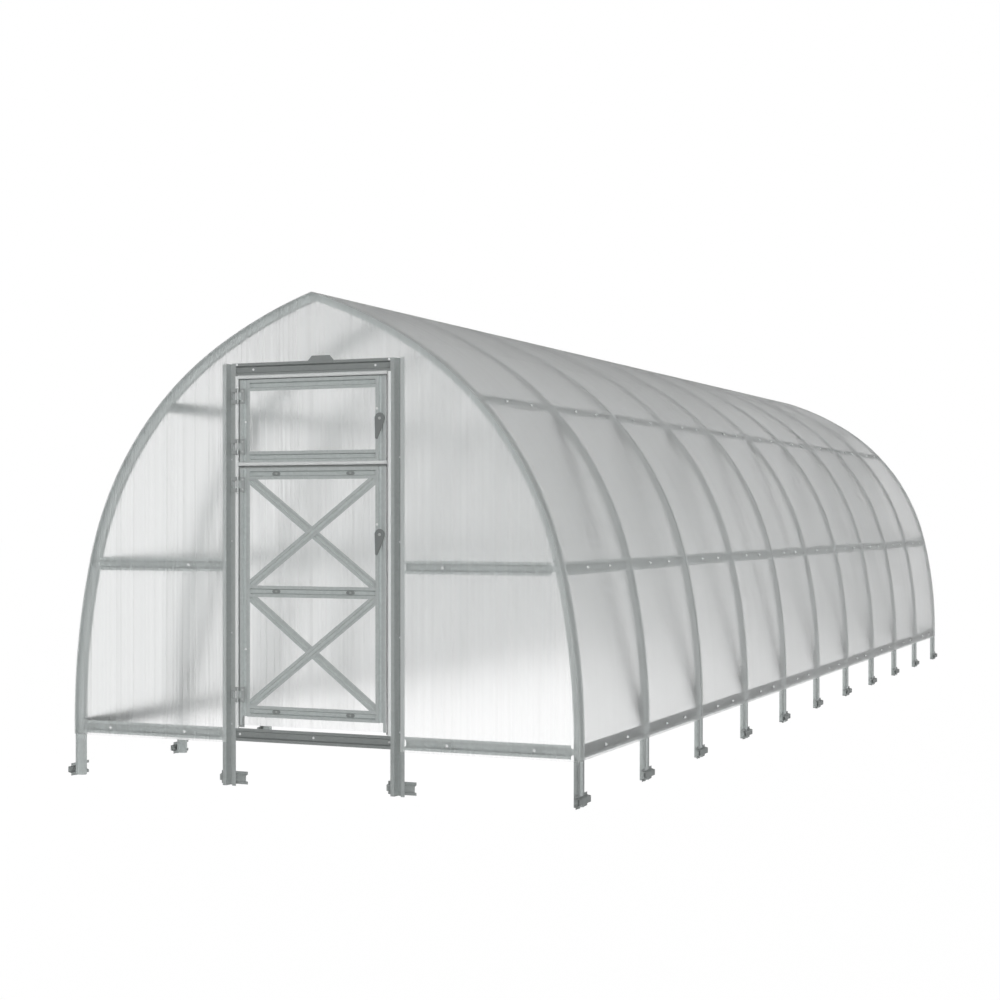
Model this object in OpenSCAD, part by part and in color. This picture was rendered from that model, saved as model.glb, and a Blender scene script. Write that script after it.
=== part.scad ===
// Greenhouse of pointed steel arches glazed with twin-wall sheet, with a door and a vent hatch in each gable.
// X runs across the house, Y along it with the entrance at -Y, and Z up from the foot of the legs.

/* [House] */
// Width over the outer flanges of the arches
width = 2945; // [2600:5:3400]
// Number of bays between the arches
bays = 10; // [2:2:12]
// Distance between arch centres
bay = 1000; // [800:50:1200]
// Height of the straight leg below the curve of the arch
spring_z = 310; // [310:5:400]

/* [Arch curve] */
// Radius of the lower curve, above the leg
foot_r = 3785; // [3400:5:4400]
// Angle swept by the lower curve
foot_sweep = 13.7; // [12:0.1:15]
// Radius of the shoulder
shoulder_r = 1805; // [1700:5:1900]
// Angle swept by the shoulder
shoulder_sweep = 44.6; // [42:0.2:46]
// Radius of the roof slope
roof_r = 2645; // [2400:5:3000]

/* [Arch and post section] */
// Width over the flanges
hat_w = 80; // [70:1:90]
// Width of the open mouth between the flanges
hat_mouth = 36; // [30:1:42]
// Width of the flat crown
hat_crown = 26; // [20:1:30]
// Depth from flange face to crown
hat_depth = 36; // [30:1:45]
// Steel thickness of arches and posts
hat_t = 1.2; // [1:0.1:2]

/* [Rail section] */
// Width over the flanges of a rail
rail_w = 68; // [60:1:76]
// Width of the open mouth of a rail
rail_mouth = 38; // [32:1:44]
// Width of the flat crown of a rail
rail_crown = 30; // [24:1:32]
// Steel thickness of rails
rail_t = 1; // [0.8:0.1:1.4]

/* [Rail places] */
// Height of the centre of the base rails
base_rail_z = 272; // [260:1:274]
// Slope angle of the arch where the middle side rails sit
mid_rail_angle = 13; // [10:0.5:14]
// Slope angle of the arch where the roof rails sit
roof_rail_angle = 43; // [38:0.5:50]

/* [Struts] */
// Height on the arch where a strut starts
strut_foot_z = 350; // [300:5:450]
// Slope angle of the arch where a strut ends, below the roof rail
strut_top_angle = 41; // [36:0.5:42]

/* [Sheets] */
// Thickness of the twin-wall sheet
sheet_t = 4; // [3:0.5:6]
// Bays covered by one roof sheet
sheet_bays = 2; // [1:1:2]
// Open seam between neighbouring roof sheets
seam = 2; // [1:0.5:4]
// How far the sheets hang below the base rails
sheet_hang = 10; // [0:1:20]

/* [Doorway] */
// Distance of the door posts from the centre line
post_x = 494; // [450:2:560]
// Height of the gable sheet above the header, at the ridge
top_light_h = 352; // [320:2:440]
// Height of the vent hatch
hatch_h = 436; // [380:2:500]
// Gap between the sill and the bottom of the door
door_foot_gap = 15; // [10:1:25]
// Height of the door edge that hangs below its bottom rail
door_skirt = 47; // [40:1:70]
// Height of the centre of the middle door rail
door_mid_z = 1027; // [900:1:1100]

/* [Door section] */
// Width over the flanges of a door bar
door_bar_w = 60; // [54:1:64]
// Width of the open mouth of a door bar
door_mouth = 28; // [24:1:32]
// Width of the flat crown of a door bar
door_crown = 20; // [16:1:22]
// Depth of a door bar
door_bar_depth = 18; // [16:0.5:20]
// Width over the flanges of a diagonal brace
brace_w = 50; // [40:1:56]
// Width of the open mouth of a brace
brace_mouth = 24; // [20:1:28]
// Width of the flat crown of a brace
brace_crown = 18; // [14:1:20]
// Lap of the braces behind the door bars
brace_lap = 13; // [8:1:14]

/* [Seals] */
// Outer diameter of the tubular seal
seal_d = 20; // [16:1:20]
// Wall of the tubular seal
seal_wall = 2.5; // [1.5:0.5:3]
// How far a flange edge reaches into the seal
seal_grip = 4; // [3:0.5:5]

/* [Feet] */
// Length of the ground anchors
anchor_len = 160; // [120:5:200]
// Height of the ground anchors above the foot of the legs
anchor_lift = 2; // [1:1:30]

/* [Hinges and latches] */
// Radius of the hinge barrel
barrel_r = 5; // [4:0.5:6]
// Radius of the hinge pin
pin_r = 2.5; // [2:0.1:3]
// Length of one hinge
hinge_len = 80; // [60:5:100]
// Distance of the pin from the edge of the leaf
hinge_out = 2.5; // [2:0.5:4]
// Thickness of the hinge plates
hinge_t = 2.5; // [2:0.5:3]
// Width of the hinge plate on a stile
hinge_plate_w = 30; // [20:1:40]
// Distance of the hinges from the ends of their leaf
hinge_inset = 85; // [60:5:120]
// Height of the door latch above the middle rail
latch_rise = 300; // [150:5:400]
// Length of a latch lever from pivot to tip
lever_len = 105; // [80:5:120]
// Diameter of the disc at the pivot of a lever
lever_disc_d = 56; // [40:1:60]
// Width of a lever at its tip
lever_tip_w = 14; // [10:1:18]
// Distance of the tip of a hanging lever to the side of its pivot
lever_lean = 18; // [0:1:20]
// Thickness of a lever
lever_t = 5; // [4:0.5:6]
// Gap between a lever and the door bars
lever_lift = 8; // [6:0.5:12]
// Diameter of the latch spindle
spindle_d = 12; // [8:1:14]

/* [Header clip] */
// Width of the clip at its foot
clip_w = 150; // [100:5:200]
// Width of the clip at its top
clip_top_w = 104; // [60:2:140]
// Height of the clip above the header
clip_rise = 25; // [15:1:40]
// Distance of the clip from the centre line
clip_x = 56; // [0:1:100]
// Thickness of the clip plate
clip_t = 1.5; // [1:0.5:3]

/* [Fits] */
// Gap between the leaves and the seals beside them
side_clear = 9; // [6:1:14]
// Gap between the hatch and the seal above it
head_clear = 4; // [3:1:10]
// Gap between the door and the seal above it
foot_clear = 12; // [8:1:20]
// Gap between the hinge barrels and the seals behind them
hinge_clear = 3; // [2:0.5:6]
// Gap between a curved sheet and the arches under it
sheet_gap = 0.3; // [0.2:0.1:0.8]
// Gap where a piece is bolted against a sloping or bent face
seat_gap = 0.3; // [0.2:0.1:0.6]
// Gap at the bolted joints between the lengths of an arch
joint_gap = 0.4; // [0.2:0.1:0.8]
// Inset of the straight rails below the curve of the arches
rail_inset = 0.5; // [0.4:0.1:0.8]
// Gap between the body of a gable rail and the arch
rail_end_gap = 3; // [2:1:8]
// Gap between hinge knuckles, and round the pin
knuckle_gap = 0.3; // [0.2:0.1:0.6]

/* [Hidden] */
steel = "#8f9695";
exposed_steel = "#7e8584";
glazing = "#dfe3e3";
rubber = "#c3c9c8";
eps = 0.01;
smooth = 360;
$fn = 48;

half_w = width / 2;
half_len = bays * bay / 2;
gable_y = half_len + hat_w / 2;
rail_depth = (hat_w - hat_mouth) / 2 - hat_t - seat_gap;
base_rail_top = base_rail_z + rail_w / 2;
sheet_foot = base_rail_z - rail_w / 2 - sheet_hang;
anchor_z = rail_w / 2 + anchor_lift;
sheet_count = bays / sheet_bays;

// Centres of the three arcs, each tangent to the next
foot_c = [half_w - foot_r, spring_z];
shoulder_a = foot_sweep + shoulder_sweep;
shoulder_c = foot_c + (foot_r - shoulder_r) * [cos(foot_sweep), sin(foot_sweep)];
roof_c = shoulder_c + (shoulder_r - roof_r) * [cos(shoulder_a), sin(shoulder_a)];
ridge_a = acos(-roof_c.x / roof_r);
ridge_z = roof_c.y + roof_r * sin(ridge_a);

post_h = ridge_z - top_light_h;
header_z = post_h - rail_w / 2;
header_foot = post_h - rail_w;
post_edge = post_x - hat_w / 2;
seal_inset = seal_d / 2 - seal_grip;
seal_drop = seal_d - seal_grip;
leaf_half_w = post_edge - seal_drop - side_clear;
pane_half_w = leaf_half_w - door_bar_w;
hatch_top = header_foot - seal_drop - head_clear;
hatch_foot = hatch_top - hatch_h;
door_top = hatch_foot - seal_drop - foot_clear;
leaf_foot = base_rail_top + door_foot_gap;
stile_foot = leaf_foot + door_skirt;
door_low_z = stile_foot + door_bar_w / 2;
door_crown_y = -gable_y + door_bar_depth;
door_flange = (door_bar_w - door_mouth) / 2;
stile_x = leaf_half_w - door_bar_w / 2;
brace_depth = (door_bar_depth - rail_t) / 2 - seat_gap;
hinge_lift = seal_d / 2 + barrel_r + hinge_clear;
hinge_x = -leaf_half_w - hinge_out;
hinge_y = -gable_y - hinge_lift;
door_hinge_z = [door_low_z + hinge_inset, door_top - hinge_inset];
hatch_hinge_z = [hatch_foot + hinge_inset, hatch_top - hinge_inset];

// Each arc as centre, radius, start angle and end angle
ARCS = [
    [foot_c, foot_r, 0, foot_sweep],
    [shoulder_c, shoulder_r, foot_sweep, shoulder_a],
    [roof_c, roof_r, shoulder_a, ridge_a]
];

function arch_name(i) = i == 0 ? "front_arch" : i == bays ? "back_arch" : str("arch_", i + 1);

// Point of the outer curve where its outward normal rises by angle a
function curve_point(a) =
    let (arc = a <= foot_sweep ? ARCS[0] : a <= shoulder_a ? ARCS[1] : ARCS[2])
    arc[0] + arc[1] * [cos(a), sin(a)];

// Distance of the outer curve from the centre line at height z, up to the shoulder
function curve_x(z) =
    z <= spring_z
        ? half_w
        : let (arc = z <= curve_point(foot_sweep).y ? ARCS[0] : ARCS[1])
          arc[0].x + sqrt(pow(arc[1], 2) - pow(z - arc[0].y, 2));

// Folded hat section: x is the outward normal with 0 on the flange face, y runs across
module hat(w, mouth, crown, depth, t) {
    slope = (mouth / 2 + t - crown / 2) / (depth - t);
    hollow = mouth / 2 - slope * (depth - t);
    polygon([
        [0, w / 2], [0, mouth / 2], [t - depth, hollow], [t - depth, -hollow], [0, -mouth / 2], [0, -w / 2],
        [-t, -w / 2], [-t, -mouth / 2 - t], [-depth, -crown / 2],
        [-depth, crown / 2], [-t, mouth / 2 + t], [-t, w / 2]
    ]);
}

module arch_hat() {
    hat(hat_w, hat_mouth, hat_crown, hat_depth, hat_t);
}

module rail_hat() {
    hat(rail_w, rail_mouth, rail_crown, rail_depth, rail_t);
}

module door_hat() {
    hat(door_bar_w, door_mouth, door_crown, door_bar_depth, rail_t);
}

module brace_hat() {
    hat(brace_w, brace_mouth, brace_crown, brace_depth, rail_t);
}

// Bar along Y with its flanges towards +X
module bar_y(len) {
    rotate([90, 0, 0])
        linear_extrude(len, center = true)
            children();
}

// Bar along X from x0 to x1 with its flanges towards -Y
module bar_x(x0, x1) {
    translate([x0, 0, 0])
        rotate([90, 0, 90])
            linear_extrude(x1 - x0)
                mirror([1, 0])
                    children();
}

// Upright bar from z0 to z1 with its flanges towards -Y
module bar_z(z0, z1) {
    translate([0, 0, z0])
        linear_extrude(z1 - z0)
            rotate(-90)
                children();
}

module both_sides() {
    children();
    mirror([1, 0, 0])
        children();
}

module at_back() {
    rotate([0, 0, 180])
        children();
}

// Sweep of a section along one arc of the curve, from angle a0 to a1
module arc_sweep(arc, a0, a1) {
    translate([arc[0].x, 0, arc[0].y])
        rotate([90, 0, 0])
            rotate_extrude(angle = a1 - a0, start = a0, $fn = smooth)
                translate([arc[1], 0])
                    children();
}

// Right half of the area under the curve moved outwards, from the foot of the sheets to the ridge
// The shoulder stands a hair proud, so that it crosses its neighbours instead of only touching them
module under_curve(out) {
    intersection() {
        union() {
            translate([0, sheet_foot])
                square([half_w + out, spring_z - sheet_foot]);
            sector(ARCS[0], out, 1, 0);
            sector(ARCS[1], out + eps, 1, 1);
            sector(ARCS[2], out, 0, 1);
        }
        translate([0, sheet_foot])
            square([width, ridge_z]);
    }
}

// Sector under one arc, carried a little way past its ends where its neighbours reach further out
module sector(arc, out, before, after) {
    reach = 2 * arc[1];
    a0 = arc[2] - before;
    a1 = arc[3] + after;
    translate(arc[0])
        intersection() {
            circle(arc[1] + out, $fn = smooth);
            polygon([[0, 0], reach * [cos(a0), sin(a0)], reach * [cos(a1), sin(a1)]]);
        }
}

// Angle that the bolted butt joint takes up at the start of an arc
function joint_angle(arc) = joint_gap / arc[1] * 180 / PI;

// Bolted lengths of one half of an arch: leg with lower curve, shoulder, and roof slope cut off at the ridge
module half_arch() {
    translate([half_w, 0, 0])
        linear_extrude(spring_z)
            arch_hat();
    arc_sweep(ARCS[0], 0, foot_sweep)
        arch_hat();
    arc_sweep(ARCS[1], foot_sweep + joint_angle(ARCS[1]), shoulder_a)
        arch_hat();
    intersection() {
        arc_sweep(ARCS[2], shoulder_a + joint_angle(ARCS[2]), ridge_a + 1)
            arch_hat();
        translate([0, -hat_w, 0])
            cube([half_w, 2 * hat_w, ridge_z + hat_w]);
    }
}

module arch(i) {
    color(steel)
        translate([0, i * bay - half_len, 0])
            both_sides()
                half_arch();
}

// Straight strut from the leg to the shoulder, cut along the crown of the arch at both ends
module strut() {
    foot = [curve_x(strut_foot_z) - hat_depth, strut_foot_z];
    head = curve_point(strut_top_angle) - hat_depth * [cos(strut_top_angle), sin(strut_top_angle)];
    span = head - foot;
    overrun = 2 * rail_w;
    intersection() {
        translate([foot.x, 0, foot.y])
            rotate([0, atan2(span.x, span.y), 0])
                translate([0, 0, -overrun])
                    linear_extrude(norm(span) + 2 * overrun)
                        rail_hat();
        rotate([90, 0, 0])
            linear_extrude(hat_w, center = true)
                under_curve(-hat_depth - seat_gap);
    }
}

module arch_struts() {
    color(steel)
        for (i = [1:bays - 1])
            translate([0, i * bay - half_len, 0])
                both_sides()
                    strut();
}

// Rails of every bay, between the flange edges of the arches
module bay_rails(point, angle) {
    for (i = [0:bays - 1])
        both_sides()
            translate([point.x, (i + 0.5) * bay - half_len, point.y])
                rotate([0, -angle, 0])
                    translate([-rail_inset, 0, 0])
                        bar_y(bay - hat_w)
                            rail_hat();
}

module side_base_rails() {
    color(steel)
        bay_rails([half_w, base_rail_z], 0);
}

module side_mid_rails() {
    color(steel)
        bay_rails(curve_point(mid_rail_angle), mid_rail_angle);
}

module roof_rails() {
    color(steel)
        bay_rails(curve_point(roof_rail_angle), roof_rail_angle);
}

// Short rail whose flanges are cut away where it crosses the leg
module leg_anchor() {
    difference() {
        translate([half_w - rail_t, 0, anchor_z])
            bar_y(anchor_len)
                mirror([1, 0])
                    rail_hat();
        translate([half_w - rail_t - eps, -hat_w / 2, 0])
            cube([rail_t + eps, hat_w, anchor_z + rail_w]);
    }
}

// Short rail bolted crown to crown behind a door post
module post_anchor() {
    translate([post_x, -gable_y + hat_depth + rail_depth, anchor_z])
        bar_x(-anchor_len / 2, anchor_len / 2)
            mirror([1, 0])
                rail_hat();
}

module ground_anchors() {
    color(exposed_steel) {
        for (i = [0:bays])
            translate([0, i * bay - half_len, 0])
                both_sides()
                    leg_anchor();
        both_sides() {
            post_anchor();
            at_back()
                post_anchor();
        }
    }
}

// Roof sheets of the right side, butted over the arches
module half_roof_sheets() {
    edge = half_len - gable_y - sheet_t;
    for (k = [0:sheet_count - 1]) {
        y0 = k == 0 ? edge : k * sheet_bays * bay + seam / 2;
        y1 = k == sheet_count - 1 ? bays * bay - edge : (k + 1) * sheet_bays * bay - seam / 2;
        translate([0, y1 - half_len, 0])
            rotate([90, 0, 0])
                linear_extrude(y1 - y0)
                    difference() {
                        under_curve(sheet_gap + sheet_t);
                        under_curve(sheet_gap);
                    }
    }
}

module roof_sheets_left() {
    color(glazing)
        mirror([1, 0, 0])
            half_roof_sheets();
}

module roof_sheets_right() {
    color(glazing)
        half_roof_sheets();
}

module door_posts() {
    color(exposed_steel)
        both_sides()
            translate([post_x, -gable_y, 0])
                bar_z(0, post_h)
                    arch_hat();
}

// Clip on top of the header that grips the edge of the sheet above the door
module header_clip() {
    translate([clip_x, -gable_y, post_h])
        rotate([90, 0, 0]) {
            translate([-clip_w / 2, -(rail_w - rail_mouth) / 2])
                cube([clip_w, (rail_w - rail_mouth) / 2, sheet_t + clip_t]);
            translate([0, 0, sheet_t])
                linear_extrude(clip_t)
                    polygon([
                        [-clip_w / 2, -eps], [clip_w / 2, -eps],
                        [clip_top_w / 2, clip_rise], [-clip_top_w / 2, clip_rise]
                    ]);
        }
}

module header() {
    color(exposed_steel) {
        translate([0, -gable_y, header_z])
            bar_x(-post_edge, post_edge)
                rail_hat();
        header_clip();
    }
}

module sill() {
    color(exposed_steel)
        translate([0, -gable_y, base_rail_z])
            bar_x(-post_edge, post_edge)
                rail_hat();
}

// Rail from the post to the arch, where its crown runs on as a tongue along the web
module gable_rail(z) {
    tilt = cos(mid_rail_angle);
    body_end = curve_x(z + rail_w / 2) - hat_depth / tilt - rail_end_gap;
    tongue_end = curve_x(z + rail_crown / 2) - hat_t / tilt - seat_gap;
    translate([0, -gable_y, z]) {
        bar_x(post_x + hat_w / 2, body_end)
            rail_hat();
        translate([body_end - eps, rail_depth - rail_t, -rail_crown / 2])
            cube([tongue_end - body_end + eps, rail_t, rail_crown]);
    }
}

module gable_rails() {
    color(steel)
        for (z = [base_rail_z, curve_point(mid_rail_angle).y])
            both_sides()
                gable_rail(z);
}

// Tubular seal section with the slot that grips a flange edge at +X
module seal_section() {
    difference() {
        circle(d = seal_d);
        circle(d = seal_d - 2 * seal_wall);
        translate([seal_inset - seat_gap, -hat_t / 2 - seat_gap])
            square([seal_d, hat_t + 2 * seat_gap]);
    }
}

module seals() {
    mid_y = -gable_y + hat_t / 2;
    across = post_edge - seal_inset - seal_d / 2 - seat_gap;
    color(rubber) {
        both_sides()
            translate([post_edge - seal_inset, mid_y, base_rail_top + seat_gap])
                linear_extrude(header_foot - base_rail_top - 2 * seat_gap)
                    seal_section();
        for (z = [header_foot, hatch_foot])
            translate([0, -gable_y + rail_t / 2, z - seal_inset])
                rotate([0, 90, 0])
                    linear_extrude(2 * across, center = true)
                        rotate(180)
                            seal_section();
    }
}

// Sheet before the gable, cut to an area given in X and Z
module gable_sheet() {
    color(glazing)
        translate([0, -gable_y, 0])
            rotate([90, 0, 0])
                linear_extrude(sheet_t)
                    children();
}

// The sheets beside the doorway end on the outer flange of the posts
module side_area() {
    intersection() {
        under_curve(0);
        translate([post_x + hat_mouth / 2, sheet_foot])
            square([half_w, ridge_z]);
    }
}

module gable_sheet_left() {
    gable_sheet()
        mirror([1, 0])
            side_area();
}

module gable_sheet_right() {
    gable_sheet()
        side_area();
}

module top_area() {
    intersection() {
        under_curve(0);
        translate([0, post_h])
            square([post_x + hat_mouth / 2, ridge_z]);
    }
}

module gable_sheet_top() {
    gable_sheet() {
        top_area();
        mirror([1, 0])
            top_area();
    }
}

module leaf_rail(z) {
    translate([0, -gable_y, z])
        bar_x(-pane_half_w, pane_half_w)
            door_hat();
}

module leaf_stiles(z0, z1) {
    both_sides()
        translate([stile_x, -gable_y, 0])
            bar_z(z0, z1)
                door_hat();
}

module leaf_sheet(z0, z1) {
    color(glazing)
        translate([-leaf_half_w, door_crown_y, z0])
            cube([2 * leaf_half_w, sheet_t, z1 - z0]);
}

// Only the flanges of the hatch stiles reach into the seal along its foot
module hatch_frame() {
    color(exposed_steel)
        difference() {
            union() {
                leaf_stiles(hatch_foot, hatch_top);
                leaf_rail(hatch_foot + door_bar_w / 2);
                leaf_rail(hatch_top - door_bar_w / 2);
            }
            translate([-leaf_half_w - eps, -gable_y + rail_t, hatch_foot - eps])
                cube([2 * (leaf_half_w + eps), door_bar_depth, seal_grip + seat_gap + eps]);
        }
}

module hatch_sheet() {
    leaf_sheet(hatch_foot, hatch_top);
}

// The outer flanges of the stiles run on below the bottom rail
module leaf_frame() {
    color(exposed_steel) {
        leaf_stiles(stile_foot, door_top);
        both_sides()
            translate([leaf_half_w - door_flange, -gable_y, leaf_foot])
                cube([door_flange, rail_t, door_skirt]);
        for (z = [door_low_z, door_mid_z, door_top - door_bar_w / 2])
            leaf_rail(z);
    }
}

// Pair of crossed braces between two door rails, one behind the other and both behind the flanges of the bars
module brace_pair(z0, z1) {
    rise = atan2(z1 - z0, 2 * pane_half_w);
    reach = norm([2 * pane_half_w, z1 - z0]) + brace_w;
    intersection() {
        translate([0, -gable_y + rail_t, (z0 + z1) / 2]) {
            rotate([0, -rise, 0])
                bar_x(-reach / 2, reach / 2)
                    brace_hat();
            translate([0, brace_depth + seat_gap, 0])
                rotate([0, rise, 0])
                    bar_x(-reach / 2, reach / 2)
                        brace_hat();
        }
        translate([-pane_half_w - brace_lap, -gable_y, z0 - brace_lap])
            cube([2 * (pane_half_w + brace_lap), door_bar_depth, z1 - z0 + 2 * brace_lap]);
    }
}

module leaf_braces() {
    half_bar = door_bar_w / 2;
    color(exposed_steel) {
        brace_pair(door_low_z + half_bar, door_mid_z - half_bar);
        brace_pair(door_mid_z + half_bar, door_top - door_bar_w);
    }
}

module leaf_bottom_sheet() {
    leaf_sheet(leaf_foot, door_top);
}

// Fixed half of a hinge: a folded bracket on the post flange with the outer knuckles and the pin
module hinge_bracket(z) {
    knuckle = hinge_len / 4;
    foot_x = -post_x + hat_mouth / 2;
    riser_x = -post_edge + seal_inset - seal_d - seat_gap;
    plate_y = hinge_y + barrel_r - hinge_t;
    translate([foot_x, -gable_y - hinge_t, z - hinge_len / 2])
        cube([riser_x - foot_x, hinge_t, hinge_len]);
    translate([riser_x - hinge_t, plate_y, z - hinge_len / 2])
        cube([hinge_t, -gable_y - plate_y, hinge_len]);
    for (z0 = [z - hinge_len / 2, z + hinge_len / 2 - knuckle]) {
        translate([riser_x - hinge_t, plate_y, z0])
            cube([hinge_x - riser_x + hinge_t, hinge_t, knuckle]);
        translate([hinge_x, hinge_y, z0])
            cylinder(r = barrel_r, h = knuckle);
    }
    translate([hinge_x, hinge_y, z - hinge_len / 2])
        cylinder(r = pin_r, h = hinge_len);
}

// Moving half of a hinge: the middle knuckle on an angle plate that covers the edge of the stile
module hinge_leaf(z) {
    half_knuckle = hinge_len / 4 - knuckle_gap;
    difference() {
        union() {
            translate([hinge_x, hinge_y, z - half_knuckle])
                cylinder(r = barrel_r, h = 2 * half_knuckle);
            translate([-leaf_half_w, hinge_y, z - half_knuckle])
                cube([hinge_t, hinge_lift, 2 * half_knuckle]);
            translate([-leaf_half_w, -gable_y - hinge_t, z - hinge_len / 2])
                cube([hinge_plate_w, hinge_t, hinge_len]);
        }
        translate([hinge_x, hinge_y, z - hinge_len])
            cylinder(r = pin_r + knuckle_gap, h = 2 * hinge_len);
    }
}

module hinge_brackets() {
    color(exposed_steel)
        for (z = door_hinge_z)
            hinge_bracket(z);
}

module hinge_leaves() {
    color(exposed_steel)
        for (z = door_hinge_z)
            hinge_leaf(z);
}

// Outline of a lever: a disc that runs out into a narrow tail
module lever_outline() {
    disc_r = lever_disc_d / 2;
    tip_r = lever_tip_w / 2;
    tip = [-lever_lean, tip_r - lever_len];
    along = atan2(tip.y, tip.x);
    spread = acos((disc_r - tip_r) / norm(tip));
    sides = [for (a = [along - spread, along + spread]) [cos(a), sin(a)]];
    circle(disc_r);
    translate(tip)
        circle(tip_r);
    polygon([disc_r * sides[0], tip + tip_r * sides[0], tip + tip_r * sides[1], disc_r * sides[1]]);
}

// Lever hanging from a spindle that seats in the hollow of the stile
module latch(z) {
    seat_y = door_crown_y - rail_t - seat_gap;
    lever_y = -gable_y - lever_lift;
    translate([stile_x, 0, z])
        rotate([90, 0, 0]) {
            translate([0, 0, -seat_y])
                cylinder(d = spindle_d, h = seat_y - lever_y + lever_t);
            translate([0, 0, -lever_y])
                linear_extrude(lever_t)
                    lever_outline();
        }
}

module door_latch() {
    color(exposed_steel)
        latch(door_mid_z + latch_rise);
}

module hatch_fittings() {
    color(exposed_steel) {
        for (z = hatch_hinge_z) {
            hinge_bracket(z);
            hinge_leaf(z);
        }
        latch((hatch_foot + hatch_top) / 2);
    }
}

module back_fittings() {
    hinge_leaves();
    door_latch();
}

for (i = [0:bays])
    arch(i);
arch_struts();
side_base_rails();
side_mid_rails();
roof_rails();
ground_anchors();
roof_sheets_left();
roof_sheets_right();
door_posts();  // front_door_posts
header();  // front_header
sill();  // front_sill
gable_rails();  // front_gable_rails
seals();  // front_seals
gable_sheet_left();  // front_gable_sheet_left
gable_sheet_right();  // front_gable_sheet_right
gable_sheet_top();  // front_gable_sheet_top
hatch_frame();  // front_hatch_frame
hatch_sheet();  // front_hatch_sheet
hatch_fittings();  // front_hatch_fittings
hinge_brackets();  // front_hinge_brackets
leaf_frame();  // door_frame
leaf_braces();  // door_braces
leaf_bottom_sheet();  // door_sheet
hinge_leaves();  // door_hinges
door_latch();
at_back() door_posts();  // back_door_posts
at_back() header();  // back_header
at_back() sill();  // back_sill
at_back() gable_rails();  // back_gable_rails
at_back() seals();  // back_seals
at_back() gable_sheet_left();  // back_gable_sheet_left
at_back() gable_sheet_right();  // back_gable_sheet_right
at_back() gable_sheet_top();  // back_gable_sheet_top
at_back() hatch_frame();  // back_hatch_frame
at_back() hatch_sheet();  // back_hatch_sheet
at_back() hatch_fittings();  // back_hatch_fittings
at_back() hinge_brackets();  // back_hinge_brackets
at_back() leaf_frame();  // back_door_frame
at_back() leaf_braces();  // back_door_braces
at_back() leaf_bottom_sheet();  // back_door_sheet
at_back() back_fittings();  // back_door_fittings
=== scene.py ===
import math

import bmesh
import bpy
from mathutils import Matrix, Vector
from mathutils.bvhtree import BVHTree


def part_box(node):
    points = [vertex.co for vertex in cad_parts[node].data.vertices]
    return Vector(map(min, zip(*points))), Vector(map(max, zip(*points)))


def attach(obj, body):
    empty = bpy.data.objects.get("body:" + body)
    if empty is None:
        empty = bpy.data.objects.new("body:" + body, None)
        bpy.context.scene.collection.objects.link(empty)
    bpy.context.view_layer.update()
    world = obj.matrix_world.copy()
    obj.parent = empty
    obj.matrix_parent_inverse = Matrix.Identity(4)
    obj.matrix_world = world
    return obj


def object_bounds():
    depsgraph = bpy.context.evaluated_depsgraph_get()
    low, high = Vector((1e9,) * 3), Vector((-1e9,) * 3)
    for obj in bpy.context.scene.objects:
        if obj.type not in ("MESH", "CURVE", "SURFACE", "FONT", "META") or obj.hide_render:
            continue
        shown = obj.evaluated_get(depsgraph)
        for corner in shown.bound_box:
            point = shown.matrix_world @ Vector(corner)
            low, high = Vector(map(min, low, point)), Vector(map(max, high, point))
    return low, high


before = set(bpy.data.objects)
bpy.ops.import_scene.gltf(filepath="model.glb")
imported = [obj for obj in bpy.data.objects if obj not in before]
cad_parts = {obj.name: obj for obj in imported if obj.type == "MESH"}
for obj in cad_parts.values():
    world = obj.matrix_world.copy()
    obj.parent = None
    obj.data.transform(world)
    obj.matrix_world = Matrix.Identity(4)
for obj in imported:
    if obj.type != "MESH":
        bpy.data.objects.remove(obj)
cad_low, cad_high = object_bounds()


# Arches and struts: eleven pointed arches and the straight struts inside them.
# Each is a hat section, cold-rolled from hot-dip galvanised strip, so it is
# dull grey zinc with a faint spangle and paler patches where it has weathered.
# The arches are painted much lighter and the struts a little darker than the
# plain zinc: painted light and shade for the light that reaches them.
def new_finish(name):
    """A material with its node tree, its shader and the tree's link function."""
    finish = bpy.data.materials.new(name)
    finish.use_nodes = True
    tree = finish.node_tree
    return finish, tree, tree.nodes["Principled BSDF"], tree.links.new


def add_node(tree, kind, settings=None, **inputs):
    """One shader node with its settings and the values of its named inputs."""
    node = tree.nodes.new(kind)
    for setting, value in (settings or {}).items():
        setattr(node, setting, value)
    for socket, value in inputs.items():
        node.inputs[socket.replace("_", " ")].default_value = value
    return node


# Places of the colour sockets on a mix node
MIX_AMOUNT = 0
MIX_FIRST = 6
MIX_SECOND = 7
MIX_COLOUR = 2


def tint_between(tree, amount, first, second):
    """A colour from first to second, by an output from 0 to 1; either colour may be an output."""
    mix = add_node(tree, "ShaderNodeMix", {"data_type": "RGBA"})
    tree.links.new(amount, mix.inputs[MIX_AMOUNT])
    for place, colour in ((MIX_FIRST, first), (MIX_SECOND, second)):
        if isinstance(colour, bpy.types.NodeSocket):
            tree.links.new(colour, mix.inputs[place])
        else:
            mix.inputs[place].default_value = (*colour, 1.0)
    return mix.outputs[MIX_COLOUR]


def spread(tree, amount, low, high):
    """An output from 0 to 1, spread over the range from low to high."""
    node = add_node(tree, "ShaderNodeMapRange", To_Min=low, To_Max=high)
    tree.links.new(amount, node.inputs["Value"])
    return node.outputs["Result"]


def place_on(tree):
    """Real places on the piece, in metres."""
    return add_node(tree, "ShaderNodeTexCoord").outputs["Object"]


SPANGLES_PER_METRE = 70.0
ZINC_DARK = (0.308, 0.330, 0.326)
ZINC_LIGHT = (0.340, 0.362, 0.358)
ZINC_BLOOM = (0.408, 0.424, 0.418)
ZINC_ROUGHNESS = (0.42, 0.64)
ZINC_METAL = 0.25


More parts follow.
